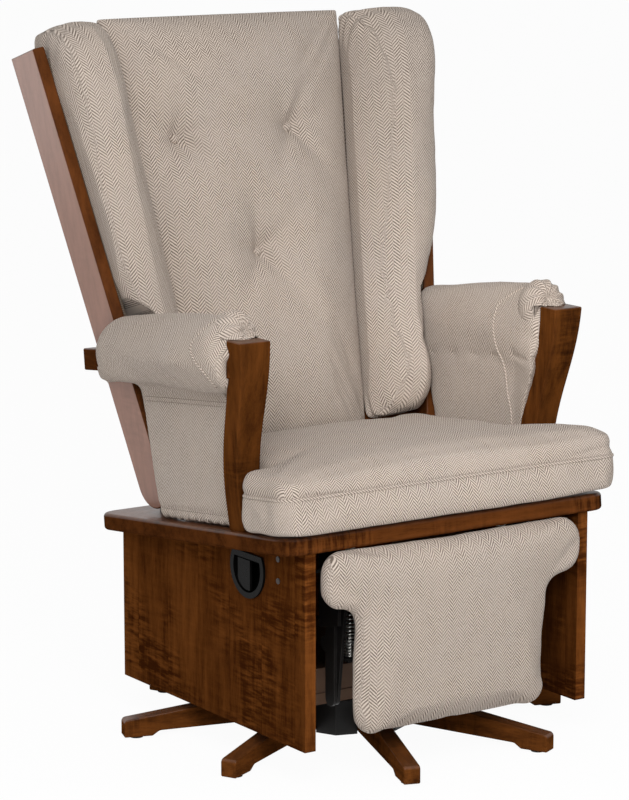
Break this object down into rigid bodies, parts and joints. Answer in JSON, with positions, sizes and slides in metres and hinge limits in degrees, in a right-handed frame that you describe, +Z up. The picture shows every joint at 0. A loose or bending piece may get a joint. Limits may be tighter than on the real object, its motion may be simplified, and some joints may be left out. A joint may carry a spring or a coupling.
{
  "type": "swivel glider armchair",
  "caption": "Upholstered swivel glider with wooden frame, star base, tufted reclining back, T-shaped seat cushion and flip-out footrest.",
  "frame": {"origin": "on the floor, below the middle of the chair's bounding box", "axes": "+Z up, the chair's front faces -Y, +X is the right hand side seen from the front"},
  "size_m": [0.7738, 0.7418, 1.1294],
  "materials": {
    "stained_wood": "satin stained maple",
    "inner_wood": "matt dark wood",
    "herringbone_fabric": "woven herringbone",
    "black_steel": "satin black",
    "bright_steel": "zinc plated",
    "dark_screws": "dark bronze",
    "black_plastic": "satin black"
  },
  "bodies": {
    "base": {"leg_1": "stained_wood", "leg_2": "stained_wood", "leg_3": "stained_wood", "leg_4": "stained_wood", "leg_5": "stained_wood", "leg_6": "stained_wood", "leg_7": "stained_wood", "leg_8": "stained_wood", "base_hub": "black_steel", "hub_fasteners": "bright_steel", "foot_glides": "black_plastic", "swivel_lower_plate": "black_steel"},
    "swivel": {"swivel_upper_plate": "black_steel", "base_board": "inner_wood", "cross_rails": "inner_wood", "left_upright": "inner_wood", "right_upright": "inner_wood", "upper_glide_pins": "bright_steel"},
    "front_links": {"front_glide_links": "black_steel"},
    "rear_links": {"rear_glide_links": "black_steel"},
    "chair": {"deck": "stained_wood", "left_side_panel": "stained_wood", "right_side_panel": "stained_wood", "rear_panel": "stained_wood", "left_glide_rail": "inner_wood", "right_glide_rail": "inner_wood", "lower_glide_pins": "bright_steel", "left_arm_post": "stained_wood", "right_arm_post": "stained_wood", "left_arm_rail": "stained_wood", "right_arm_rail": "stained_wood", "left_arm_panel": "herringbone_fabric", "right_arm_panel": "herringbone_fabric", "left_arm_pad": "herringbone_fabric", "right_arm_pad": "herringbone_fabric", "seat_cushion": "herringbone_fabric", "handle_cup": "black_plastic", "release_cable": "black_plastic", "panel_screws": "dark_screws", "footrest_side_plates": "black_steel", "footrest_pivot_pins": "bright_steel", "back_pivot_brackets": "black_steel", "footrest_springs": "bright_steel"},
    "back": {"left_back_post": "stained_wood", "right_back_post": "stained_wood", "back_upper_rail": "stained_wood", "back_lower_rail": "stained_wood", "back_panel": "herringbone_fabric", "back_cushion": "herringbone_fabric", "left_bolster": "herringbone_fabric", "right_bolster": "herringbone_fabric", "back_buttons": "herringbone_fabric", "back_pivot_bolts": "bright_steel"},
    "footrest_arms": {"footrest_arms": "black_steel", "footrest_cross_tube": "black_steel"},
    "footrest_links": {"footrest_links": "black_steel"},
    "footrest": {"footrest_board": "inner_wood", "footrest_brackets": "black_steel", "footrest_pad": "herringbone_fabric"},
    "paddle": {"release_paddle": "black_plastic"}
  },
  "joints": [
    {"name": "swivel_turn", "type": "hinge", "parent": "base", "child": "swivel", "pos_m": [0, -0.01612, 0.074], "axis": [0, 0, 1], "continuous": true},
    {"name": "glide", "type": "hinge", "parent": "swivel", "child": "front_links", "pos_m": [0, -0.12612, 0.2863], "axis": [1, 0, 0], "range_deg": [-20, 20]},
    {"name": "rear_link_swing", "type": "hinge", "parent": "swivel", "child": "rear_links", "pos_m": [0, 0.09388, 0.2863], "axis": [1, 0, 0], "range_deg": [-20, 20]},
    {"name": "carriage_level", "type": "hinge", "parent": "front_links", "child": "chair", "pos_m": [0, -0.12612, 0.1263], "axis": [1, 0, 0], "range_deg": [-20, 20]},
    {"name": "recline", "type": "hinge", "parent": "chair", "child": "back", "pos_m": [0, 0.13858, 0.395], "axis": [-1, 0, 0], "range_deg": [0, 25]},
    {"name": "footrest_swing", "type": "hinge", "parent": "chair", "child": "footrest_arms", "pos_m": [0, -0.23112, 0.3], "axis": [-1, 0, 0], "range_deg": [0, 50], "deforming": ["footrest_springs"]},
    {"name": "footrest_knee", "type": "hinge", "parent": "footrest_arms", "child": "footrest_links", "pos_m": [0, -0.23112, 0.115], "axis": [-1, 0, 0], "range_deg": [-100, 0]},
    {"name": "footrest_tilt", "type": "hinge", "parent": "footrest_links", "child": "footrest", "pos_m": [0, -0.25612, 0.313], "axis": [-1, 0, 0], "range_deg": [0, 135]},
    {"name": "release_pull", "type": "hinge", "parent": "chair", "child": "paddle", "pos_m": [-0.2665, -0.11812, 0.318], "axis": [0, 0, -1], "range_deg": [0, 30], "stiffness_Nm_per_rad": 0.3}
  ],
  "couplings": [
    {"joint": "rear_link_swing", "follows": "glide", "ratio": 1},
    {"joint": "carriage_level", "follows": "glide", "ratio": -1},
    {"joint": "footrest_knee", "follows": "footrest_swing", "ratio": -2},
    {"joint": "footrest_tilt", "follows": "footrest_swing", "ratio": 2.7}
  ]
}
